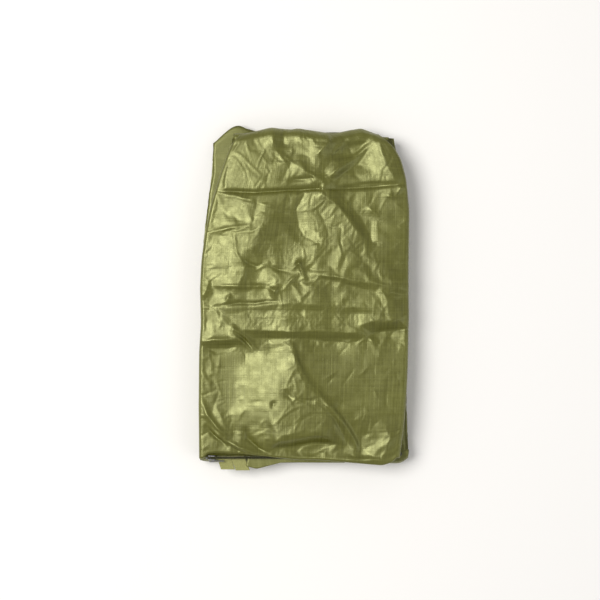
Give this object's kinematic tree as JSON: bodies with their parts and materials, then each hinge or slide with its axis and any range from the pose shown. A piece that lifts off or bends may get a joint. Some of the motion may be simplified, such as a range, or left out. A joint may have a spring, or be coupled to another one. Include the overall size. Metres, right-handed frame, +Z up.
{
  "type": "bivy sack",
  "caption": "Ripstop bivy sack folded flat in a Z of leaves that unfold on two hinges, with a zip slider and pull, stake loops and a drawcord with a cord lock.",
  "frame": {"origin": "centre of the bounding box's underside, where the folded sack rests", "axes": "+X across the bundle to the right, +Y along it towards the top fold, +Z up from the ground"},
  "size_m": [0.2346, 0.3821, 0.034],
  "materials": {
    "ripstop": "olive green ripstop nylon, glossy, five millimetre grid",
    "floor_fabric": "olive green coated nylon",
    "webbing": "ribbed grosgrain webbing",
    "insect_mesh": "fine black insect netting",
    "zip_tape": "woven tape",
    "zip_coil": "nylon coil",
    "metal": "dark plated metal",
    "cord": "braided elastic cord",
    "cord_lock": "moulded plastic",
    "label": "blank satin tape"
  },
  "bodies": {
    "bottom_leaf": {"bottom_leaf_upper_panel_outer": "ripstop", "bottom_leaf_floor_panel": "floor_fabric", "bottom_leaf_upper_panel_inner": "ripstop", "bottom_fold_outer": "ripstop", "bottom_fold_middle": "ripstop", "bottom_fold_inner": "ripstop"},
    "middle_leaf": {"middle_leaf_upper_panel_lower": "ripstop", "middle_leaf_floor_panel": "floor_fabric", "middle_leaf_upper_panel_upper": "ripstop", "top_fold_outer": "ripstop", "top_fold_middle": "ripstop", "top_fold_inner": "ripstop"},
    "top_leaf": {"top_leaf_floor_panel": "floor_fabric", "hood_panel": "ripstop", "hood_mesh_window": "insect_mesh", "top_leaf_upper_panel_cover": "ripstop", "zip_tape_upper": "zip_tape", "zip_tape_lower": "zip_tape", "zip_coil_upper": "zip_coil", "zip_coil_lower": "zip_coil", "zip_start_stop": "metal", "zip_end_stop": "metal", "drawcord_hem_end": "ripstop", "drawcord": "cord", "drawcord_knot": "cord", "stake_loop_head_left": "webbing", "stake_loop_foot_left": "webbing", "stake_loop_head_right": "webbing", "stake_loop_foot_right": "webbing", "foot_end_corner": "floor_fabric", "care_label": "label"},
    "zip_slider": {"zip_slider_body": "metal"},
    "zip_pull": {"zip_pull_tab": "metal"},
    "cord_lock": {"cord_lock_barrel": "cord_lock", "cord_lock_spring": "metal"},
    "cord_lock_button": {"cord_lock_button": "cord_lock"}
  },
  "joints": [
    {"name": "bottom_fold", "type": "hinge", "parent": "bottom_leaf", "child": "middle_leaf", "pos_m": [0, -0.172, 0.0114], "axis": [1, 0, 0], "range_deg": [0, 180], "deforming": ["bottom_fold_outer", "bottom_fold_middle", "bottom_fold_inner"]},
    {"name": "top_fold", "type": "hinge", "parent": "middle_leaf", "child": "top_leaf", "pos_m": [0, 0.176, 0.0228], "axis": [-1, 0, 0], "range_deg": [0, 180], "deforming": ["top_fold_outer", "top_fold_middle", "top_fold_inner"]},
    {"name": "zip_slide", "type": "slide", "parent": "top_leaf", "child": "zip_slider", "axis": [1, 0, 0], "range_m": [0, 0.142]},
    {"name": "zip_pull_swing", "type": "hinge", "parent": "zip_slider", "child": "zip_pull", "pos_m": [-0.1025, -0.1812, 0.0276], "axis": [0, 0, -1], "range_deg": [0, 175]},
    {"name": "cord_lock_slide", "type": "slide", "parent": "top_leaf", "child": "cord_lock", "axis": [1, 0, 0], "range_m": [-0.018, 0.018]},
    {"name": "cord_lock_press", "type": "slide", "parent": "cord_lock", "child": "cord_lock_button", "axis": [0, 1, 0], "range_m": [0, 0.0022], "stiffness_N_per_m": 300, "springref_m": -0.003, "deforming": ["cord_lock_spring"]}
  ]
}
